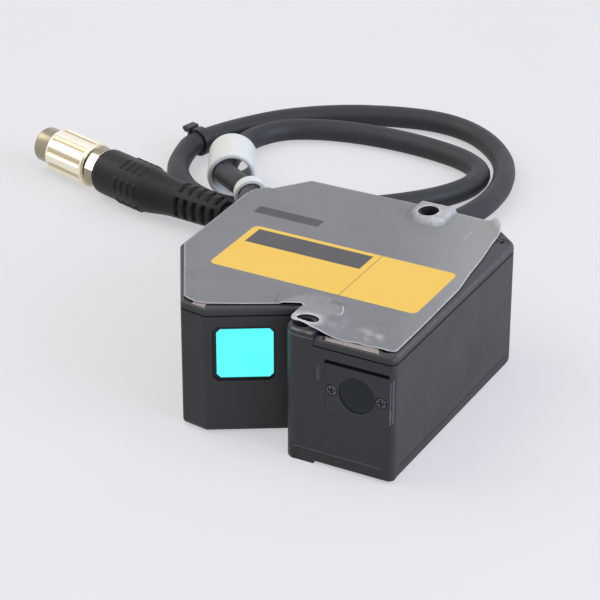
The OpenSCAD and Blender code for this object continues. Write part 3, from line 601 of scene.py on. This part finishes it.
def placed(points, middle, heading):
    """Points of a tie's own frame, axis along +X and up along +Z, set on the cable."""
    h = np.radians(heading)
    turn = np.array([[np.cos(h), -np.sin(h), 0], [np.sin(h), np.cos(h), 0], [0, 0, 1]])
    return points @ turn.T + np.asarray(middle)


def joined(*surfaces):
    """Several surfaces as one list of points and faces."""
    starts = np.cumsum([0] + [len(p) for p, f in surfaces])
    faces = [f + n for (p, f), n in zip(surfaces, starts)]
    return np.concatenate([p for p, f in surfaces]), np.concatenate(faces)


# Cable and ties


def smooth_route(steps=8):
    """Points on a Catmull-Rom curve through the route, steps to each stretch."""
    p = np.concatenate([ROUTE[:1], ROUTE, ROUTE[-1:]])
    a, b, c, d = p[:-3, None], p[1:-2, None], p[2:-1, None], p[3:, None]
    t = np.linspace(0, 1, steps, endpoint=False)[None, :, None]
    bend = (2 * a - 5 * b + 4 * c - d) * t ** 2 + (3 * b - a - 3 * c + d) * t ** 3
    curve = 0.5 * (2 * b + (c - a) * t + bend)
    return np.concatenate([curve.reshape(-1, 3), ROUTE[-1:]])


def make_cable(points):
    """Curve of one open spline with a round bevel."""
    data = bpy.data.curves.new("cable_jacket", "CURVE")
    data.dimensions = "3D"
    data.bevel_depth = CABLE_R * MM
    data.bevel_resolution = 6
    data.use_fill_caps = True
    spline = data.splines.new("POLY")
    spline.points.add(len(points) - 1)
    rows = np.concatenate([points * MM, np.ones((len(points), 1))], axis=1)
    spline.points.foreach_set("co", rows.ravel())
    spline.use_smooth = True
    data.materials.append(pvc)
    made = bpy.data.objects.new("cable_jacket", data)
    bpy.context.collection.objects.link(made)
    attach(made, "head")
    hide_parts("cable")
    return made


def make_wrap():
    """Wide white wrap: a thick tube with rounded rims, a little out of round."""
    loop = soft_loop(WRAP["width"], WRAP["inner"], WRAP["outer"], 0.55)
    points, faces = turned(loop, (0, 0, 0), 0, 72, lambda t, s, r: 0.1 + 0.1 * np.cos(2 * t + 0.3 * s))
    points = placed(points, WRAP["middle"], WRAP["heading"])
    made = piece("white_wrap", points, faces, white_nylon)
    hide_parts("white_cable_wrap")
    return made


def make_loop():
    """White tie near the gland: a strap ring and its small square head on the far side."""
    ring = turned(soft_loop(LOOP["width"], LOOP["inner"], LOOP["outer"], 0.25), (0, 0, 0), 0, 72)
    head = soft_block(*LOOP_HEAD)
    points, faces = joined(ring, head)
    points = placed(points, LOOP["middle"], LOOP["heading"])
    made = piece("white_tie", points, faces, white_nylon)
    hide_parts("white_cable_tie")
    return made


def make_snug():
    """Black tie: a strap ring, its head on the outer side, and the cut stub of the strap."""
    ring = turned(soft_loop(SNUG["width"], SNUG["inner"], SNUG["outer"], 0.25), (0, 0, 0), 0, 60)
    head = soft_block(*SNUG_HEAD)
    stub = soft_block(*SNUG_STUB)
    points, faces = joined(ring, head, stub)
    points = placed(points, SNUG["middle"], SNUG["heading"])
    made = piece("black_tie", points, faces, black_nylon)
    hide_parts("black_cable_tie")
    return made


# Connector


def ease(value, low, high):
    """Smooth step from 0 at low to 1 at high."""
    t = np.clip((value - low) / (high - low), 0, 1)
    return t * t * (3 - 2 * t)


def about_axis(points):
    """Station of points along the connector's axis, and their distance from it."""
    axis = np.array([np.cos(HEADING), np.sin(HEADING), 0])
    station = (points - TIP) @ axis
    return station, np.linalg.norm(points - TIP - station[:, None] * axis, axis=1)


def set_tone(made, values):
    """Give a piece its own tone attribute, one value to a point."""
    tone = made.data.attributes.new("tone", "FLOAT", "POINT")
    tone.data.foreach_set("value", np.asarray(values, dtype=np.float32))


def nearest_of(angle, count, first):
    """Angle from the nearest of count directions evenly round the axis."""
    pitch = 2 * np.pi / count
    return (angle - first + pitch / 2) % pitch - pitch / 2


def flat_depth(angle, station, radius):
    """How deep the four spanner flats cut the flange: down to the chord at FLAT_REACH."""
    chord = FLAT_REACH / np.cos(nearest_of(angle, 4, FLAT_TURN))
    on_flange = (station > FLANGE_AT - 0.01) & (radius > COLLAR_R + 0.1)
    return np.where(on_flange, np.clip(radius - chord, 0, None), 0)


def make_shell():
    """Turned shell: open mating end, barrel under the sleeve, collar, and flange with spanner flats."""
    flange = [(s, FLANGE_R) for s in np.linspace(FLANGE_AT + 0.3, BOOT_AT, 6)]
    profile = [(0, 4.2), (0, 4.5), (0.06, 4.68), (0.25, 4.82), (0.5, SHELL_R), (COLLAR_AT, SHELL_R),
               (COLLAR_AT, COLLAR_R), (FLANGE_AT, COLLAR_R), (FLANGE_AT, FLANGE_R - 0.3), *flange,
               (BOOT_AT, CABLE_SEAT_R), (BORE_END, CABLE_SEAT_R), (BORE_END, BORE_R), (0.15, BORE_R)]
    points, faces = turned(sharpened(profile), TIP, HEADING, 192, flat_depth)
    made = piece("turned_shell", points, faces, dull_nickel)
    station, radius = about_axis(points)
    flats = (station > FLANGE_AT + 0.2) & (radius < FLANGE_R - 0.03) & (radius > COLLAR_R + 0.2)
    collar = (station > COLLAR_AT) & (station < FLANGE_AT + 0.01)
    # Painted light: the flats and the collar take the near-white tone, a highlight on the flats and less
    # shade on the collar.
    set_tone(made, flats | collar)
    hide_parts("connector_shell")
    return made


def flute_depth(angle, station, radius):
    """How deep the flutes cut: circles of FLUTE_R reaching FLUTE_DEPTH in, run out at the sleeve's ends."""
    away = nearest_of(angle, FLUTES, FLUTE_TURN)
    middle = SLEEVE_R + FLUTE_R - FLUTE_DEPTH
    reach = np.clip(FLUTE_R ** 2 - (middle * np.sin(away)) ** 2, 0, None)
    floor = middle * np.cos(away) - np.sqrt(reach)
    ends = np.minimum(station - SLEEVE_AT, SLEEVE_AT + SLEEVE_LEN - station)
    cut = np.where(reach > 0, np.clip(radius - floor, 0, None), 0) * np.clip((ends - 0.6) / 0.4, 0, 1)
    return np.where(radius > COLLAR_R + 0.3, cut, 0)


def make_sleeve():
    """Fluted locking sleeve with a stepped bore; it slides on the shell."""
    end = SLEEVE_AT + SLEEVE_LEN
    over_shell, over_collar = SHELL_R + RUNNING_GAP, COLLAR_R + RUNNING_GAP
    outer = [(SLEEVE_AT, SLEEVE_R - 0.5), (SLEEVE_AT + 0.15, SLEEVE_R - 0.2), (SLEEVE_AT + 0.5, SLEEVE_R)]
    outer += [(s, SLEEVE_R) for s in np.linspace(SLEEVE_AT + 0.6, end - 0.6, 36)]
    outer += [(end - 0.5, SLEEVE_R), (end - 0.15, SLEEVE_R - 0.2), (end, SLEEVE_R - 0.5)]
    inner = [(end, over_collar), (STEP_AT, over_collar), (STEP_AT, over_shell), (SLEEVE_AT, over_shell)]
    points, faces = turned(sharpened(outer + inner, 0.03), TIP, HEADING, 360, flute_depth)
    made = piece("fluted_sleeve", points, faces, nickel, body="sleeve")
    radius = about_axis(points)[1]
    # Painted shade: the tone grows with each flute's depth.
    set_tone(made, np.where(radius > COLLAR_R + 0.3, np.clip((SLEEVE_R - radius) / FLUTE_DEPTH, 0, 1), 0))
    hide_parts("locking_sleeve")
    return made


def boot_depth(angle, distance, radius):
    """How deep the boot is cut: slots four to a ring, and a negative depth where grip ribs stand proud."""
    slot = np.abs(distance[..., None] - SLOTS_AT).min(-1) < SLOT_WIDTH / 2
    slot = slot & (np.abs(nearest_of(angle, 4, 0)) < SLOT_REACH) & (radius > 3.6)
    rib = 1 - ease(np.abs(distance[..., None] - RIBS_AT).min(-1), 0.35, 0.6)
    rib = rib * (1 - ease(np.abs(nearest_of(angle, RIB_PANELS, RIB_TURN)), *RIB_REACH)) * (radius > 5)
    return np.where(slot, radius - SLOT_FLOOR, -RIB_HEIGHT * rib)


def bent(points):
    """Points made along +X, carried onto the boot's line, whose heading eases towards the cable's.

    The line is the sum of small steps along its heading; a point keeps its side and height off the line.
    """
    distance = np.linspace(0, 45, 451)
    heading = HEADING + BOOT_TURN * ease(distance, BEND_FROM, BEND_TO)
    step = distance[1] * np.stack([np.cos(heading), np.sin(heading)], axis=1)
    line = np.cumsum(step, axis=0) - step / 2 - step[0] / 2
    start = TIP + BOOT_AT * np.array([np.cos(HEADING), np.sin(HEADING), 0])
    along, side, up = points.T
    turn = np.interp(along, distance, heading)
    x = start[0] + np.interp(along, distance, line[:, 0]) - side * np.sin(turn)
    y = start[1] + np.interp(along, distance, line[:, 1]) + side * np.cos(turn)
    return np.stack([x, y, start[2] + up], axis=1)


def make_boot():
    """Moulded boot: a round body with panels of grip ribs, then the slotted strain relief, a little bent.

    Its outline is turned round a straight axis, cut by boot_depth, and carried onto the bent line.
    """
    end = BOOT_PROFILE[-1, 0]
    edges = np.array([-0.1, -0.04, 0, 0.06])
    slot_rows = SLOTS_AT[:, None] + np.concatenate([edges - SLOT_WIDTH / 2, SLOT_WIDTH / 2 - edges])
    rib_rows = RIBS_AT[:, None] + np.array([-0.6, -0.48, -0.35, 0.35, 0.48, 0.6])
    even_rows = np.linspace(0, end, 80)
    rows = np.concatenate([BOOT_PROFILE[:, 0], even_rows, slot_rows.ravel(), rib_rows.ravel()])
    rows = np.unique(rows)
    outer = np.stack([rows, np.interp(rows, *BOOT_PROFILE.T)], axis=1)
    inner = [(end, BOOT_BORE), (BOOT_SOCKET_END, BOOT_BORE), (BOOT_SOCKET_END, BOOT_SOCKET_R),
             (0, BOOT_SOCKET_R)]
    points, faces = turned(np.concatenate([outer, inner]), (0, 0, 0), 0, 240, boot_depth)
    made = piece("moulded_boot", bent(points), faces, boot_rubber)
    # Painted shade: the floors of the slots take the near-black tone.
    set_tone(made, np.linalg.norm(points[:, 1:], axis=1) < SLOT_FLOOR + 0.01)
    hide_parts("connector_boot")
    return made


# Label film


def edge_distance(points, corners):
    """Signed distance of points to a closed outline, positive inside, and the nearest point on it."""
    a = corners[None]
    b = np.roll(corners, -1, 0)[None]
    p = points[:, None]
    along = np.clip(((p - a) * (b - a)).sum(2) / ((b - a) ** 2).sum(2), 0, 1)
    foot = a + along[..., None] * (b - a)
    gap = np.linalg.norm(p - foot, axis=2)
    best = gap.argmin(1)
    rows = np.arange(len(points))
    straddles = (a[..., 1] > p[..., 1]) != (b[..., 1] > p[..., 1])
    rise = np.where(b[..., 1] == a[..., 1], 1, b[..., 1] - a[..., 1])
    crosses = straddles & (p[..., 0] < (b[..., 0] - a[..., 0]) * (p[..., 1] - a[..., 1]) / rise + a[..., 0])
    inside = crosses.sum(1) % 2 == 1
    return np.where(inside, gap[rows, best], -gap[rows, best]), foot[rows, best]


def outside(x, y, corners):
    """Distance of plan points outside an outline, 0 inside it."""
    return np.clip(-edge_distance(np.stack([x, y], axis=1), corners)[0], 0, None)


def corner_fold(x, y):
    """Distance past the crease across the rear right tip."""
    (at_x, at_y), (way_x, way_y) = FOLD
    return (x - at_x) * way_x + (y - at_y) * way_y


def bell(x, y, x0, y0, reach_x, reach_y):
    """Gaussian bump with its middle at (x0, y0)."""
    return np.exp(-((x - x0) / reach_x) ** 2 - ((y - y0) / reach_y) ** 2)


def from_ring(x, y):
    """Distance of plan points outside the embossed ring, negative inside it."""
    return np.hypot(x - RING[0], y - RING[1]) - RING[2]


def film_height(x, y):
    """Height of the film's top: flat on the cover, draped over both bosses, lifted at its lip and rear tip.

    The drapes are smooth steps of the distance to a boss, crinkled by sines round the rear one. The lip, the
    rim of the embossed ring and the rings over the screws are Gaussians, the front edge sags by a sine, and
    the tip's curl is a smooth step.
    """
    crinkle = 0.09 * np.sin(1.7 * x + 0.8 * y) + 0.05 * np.sin(2.6 * y - 1.1 * x)
    over_front = 1 - ease(outside(x, y, FRONT_BOSS), 0.1, FRONT_DRAPE)
    over_rear = 1 - ease(outside(x, y, REAR_BOSS) + crinkle, 0.2, REAR_DRAPE)
    rise = (BOSS_TOP - COVER_TOP) * np.maximum(over_front, over_rear)
    ring = from_ring(x, y)
    emboss = RING_LIFT * (1 - ease(ring, -0.6, 0.3)) + RING_LIFT / 2 * np.exp(-(ring / 0.45) ** 2)
    lip = LIP_LIFT * bell(x, y, *LIP)
    sag = 0.1 * np.sin(1.1 * x + 0.4) * (1 - ease(y - LIP[1], 0, 2.5)) * (x > 14)
    curl = FOLD_LIFT * ease(corner_fold(x, y), -0.8, 1.9)
    screws = sum(np.exp(-((np.hypot(x - sx, y - sy) - 1.5) / 0.45) ** 2) for sx, sy in COVER_SCREWS)
    lifts = np.maximum(rise, emboss) + 0.3 * np.minimum(rise, emboss) + lip + sag + curl
    return COVER_TOP + FILM_T + 0.02 + lifts + SCREW_LIFT * screws


def film_stretch(x, y, from_edge):
    """Share of whitening: a line along the cut edge, the lip, the rear boss, the front hole and the tip."""
    lip = bell(x, y, *WHITE_LIP)
    line = (1 - ease(from_edge, 0.1, 0.35 + 0.5 * lip)) * (0.45 + 0.6 * lip)
    near_rear = outside(x, y, REAR_BOSS)
    (side_x, side_y), (way_x, way_y) = WHITE_SIDE
    towards = ease(way_x * (x - side_x) + way_y * (y - side_y), -1, 4)
    rim = np.exp(-((near_rear - 0.3) / 0.4) ** 2) * (0.15 + 0.5 * towards)
    top = (near_rear < 0.05) * 0.2
    hole_x, hole_y, wider, radius = WHITE_HOLE
    around = np.exp(-((np.hypot((x - hole_x) / wider, y - hole_y) - radius) / 0.8) ** 2) * 0.42
    ring = from_ring(x, y)
    dome = 0.14 * (1 - ease(ring, -1, 0))
    tip = ease(corner_fold(x, y), -0.3, 1.2)
    return np.clip(line + rim + top + around + dome + 0.6 * tip, 0, 0.9)


def make_film():
    """Square grid cut to the film's outline: points past it, and in the holes, move to the nearest edge."""
    xs = np.arange(*FILM_X, FILM_STEP)
    ys = np.arange(*FILM_Y, FILM_STEP)
    plan = np.stack(np.meshgrid(xs, ys, indexing="ij"), axis=-1).reshape(-1, 2)
    away, foot = edge_distance(plan, FILM_EDGE)
    for hx, hy, rx, ry in FILM_HOLES:
        offset = (plan - (hx, hy)) / (rx, ry)
        reach = np.linalg.norm(offset, axis=1)
        gap = (reach - 1) * min(rx, ry)
        rim = np.array((hx, hy)) + offset / np.maximum(reach, 1e-6)[:, None] * (rx, ry)
        foot = np.where((gap < away)[:, None], rim, foot)
        away = np.minimum(gap, away)
    faces = grid_faces(len(xs), len(ys))
    faces = faces[(away[faces] > 0).any(1)]
    moved = np.where((away > 0)[:, None], plan, foot)
    used, numbers = np.unique(faces, return_inverse=True)
    x, y = moved[used].T
    points = np.stack([x, y, film_height(x, y)], axis=1)
    made = piece("printed_label_film", points, numbers.reshape(-1, 4), vinyl)
    made.data.materials.append(vinyl_core)
    stretch = film_stretch(x, y, np.clip(away[used], 0, None)).astype(np.float32)
    made.data.attributes.new("stretch", "FLOAT", "POINT").data.foreach_set("value", stretch)
    wall = made.modifiers.new("film_thickness", "SOLIDIFY")
    wall.thickness = FILM_T * MM
    wall.offset = -1
    wall.material_offset_rim = 1
    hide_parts("label_film")
    return made


def make_adhesive(name, corners):
    """Strip of dried adhesive: a patch between four corners, its edges wavy by a sine.

    Past the cover's edge it falls as far as it goes, down the chamfer.
    """
    rows, cols = 60, 12
    u, v = np.meshgrid(np.linspace(0, 1, rows), np.linspace(0, 1, cols), indexing="ij")
    weights = np.stack([(1 - u) * (1 - v), u * (1 - v), u * v, (1 - u) * v], axis=-1)
    plan = weights @ np.asarray(corners, float)
    plan[..., 1] += 0.06 * np.sin(40 * u) * (v - 0.5)
    height = COVER_TOP + 0.03 - np.clip(COVER_EDGE - plan[..., 1], 0, None)
    points = np.concatenate([plan, height[..., None]], axis=-1).reshape(-1, 3)
    return piece(name, points, grid_faces(rows, cols), adhesive)


def make_bead(name, start, end, proud, wide, finish, slot):
    """Bead in a joint: an ellipse with two given half axes, carried along a straight line.

    The ellipse shrinks to a point at both ends.
    """
    rows, cols = 60, 12
    t = np.linspace(0, 1, rows)[:, None, None]
    size = np.ones((rows, 1, 1))
    size[[0, -1]] = 0
    turns = np.linspace(0, 2 * np.pi, cols, endpoint=False)[None, :, None]
    line = np.array(start) + t * (np.array(end) - np.array(start))
    points = line + size * (np.cos(turns) * np.array(proud) + np.sin(turns) * np.array(wide))
    points = points.reshape(-1, 3)
    faces = outward(points, grid_faces(rows, cols, False, True))
    return piece(name, points, faces, finish)


# Stage


def seen_ray(tree):
    """1 for a ray from the camera, a reflection or a transmission, 0 for light on its way to a surface."""
    path = add(tree, "ShaderNodeLightPath").outputs
    seen = add(tree, "ShaderNodeMath", {0: path["Is Camera Ray"], 1: path["Is Glossy Ray"]},
               operation="MAXIMUM")
    return add(tree, "ShaderNodeMath", {0: seen, 1: path["Is Transmission Ray"]}, operation="MAXIMUM")


def make_table():
    """Pale table far wider than the view.

    Half of the brightness that the eye sees is its own, so shadows stay faint.
    """
    made, tree, shader, place = begin("pale_table")
    mottle = add(tree, "ShaderNodeTexNoise", {"Vector": place, "Scale": per(60), "Detail": 2.0})
    tint = add(tree, "ShaderNodeMix", {"Factor": mottle, "A": colour("#979798"), "B": colour("#9b9b9b")},
               data_type="RGBA")
    surface(tree, shader, place, tint, (0.65, 0.75), 80, mottle, 0.01)
    shader.inputs["Specular IOR Level"].default_value = 0.15
    shader.inputs["Emission Color"].default_value = colour("#fbfbff")
    glow = add(tree, "ShaderNodeMath", {0: seen_ray(tree), 1: TABLE_GLOW}, operation="MULTIPLY")
    tree.links.new(out_of(glow), shader.inputs["Emission Strength"])
    mesh = bpy.data.meshes.new("table")
    spots = [(x * TABLE_REACH, y * TABLE_REACH, TABLE_Z) for x, y in ((-1, -1), (1, -1), (1, 1), (-1, 1))]
    mesh.from_pydata(spots, [], [(0, 1, 2, 3)])
    mesh.materials.append(made)
    table = bpy.data.objects.new("table", mesh)
    bpy.context.collection.objects.link(table)


def make_light():
    """Even sky, white to the camera and in reflections, and two broad lamps, warm left and cool right.

    A lamp's axes are the direction away from its aim, one level with Y, and their cross product.
    """
    world = bpy.data.worlds.new("even_sky")
    world.use_nodes = True
    tree = world.node_tree
    strength = add(tree, "ShaderNodeMapRange", {"Value": seen_ray(tree), "To Min": SKY_LIGHT, "To Max": 1.0})
    tree.nodes["Background"].inputs["Color"].default_value = colour("#f8f9ff")
    tree.links.new(out_of(strength), tree.nodes["Background"].inputs["Strength"])
    bpy.context.scene.world = world
    for name, spot, size, power, code in LAMPS:
        data = bpy.data.lights.new(name, "AREA")
        data.size = size * MM
        data.energy = power
        data.color = colour(code)[:3]
        lamp = bpy.data.objects.new(name, data)
        bpy.context.collection.objects.link(lamp)
        back = np.array(spot) - np.array(LAMP_AIM)
        back = back / np.linalg.norm(back)
        side = np.cross((0, 1, 0), back)
        side = side / np.linalg.norm(side)
        turn = np.stack([side, np.cross(back, side), back], axis=1)
        lamp.rotation_euler = Matrix(turn.tolist()).to_euler()
        lamp.location = [v * MM for v in spot]
    bpy.context.scene.view_settings.view_transform = "Standard"


make_camera()
cable_line = smooth_route()
cable = make_cable(cable_line)
on_cable = [make_wrap(), make_loop(), make_snug(), make_shell(), make_sleeve(), make_boot()]
on_cable += [nodes[n] for n in ("cable_gland", "connector_insert", "contact_pins")]
make_film()
make_adhesive("front_adhesive", FRONT_STRIP)
make_adhesive("left_adhesive", LEFT_STRIP)
# A dark bead as painted shade along the top of the right side's set-back.
make_bead("base_shade_bead", *BASE_SHADE_BEAD, seal_rubber, "black_rubber")
make_bead("step_paint_fill", *STEP_FILL, housing_coat, "housing_paint")
make_bead("plate_paint_left", *PLATE_LEFT, housing_coat, "housing_paint")
make_bead("plate_paint_below", *PLATE_BELOW, housing_coat, "housing_paint")
make_table()
make_light()
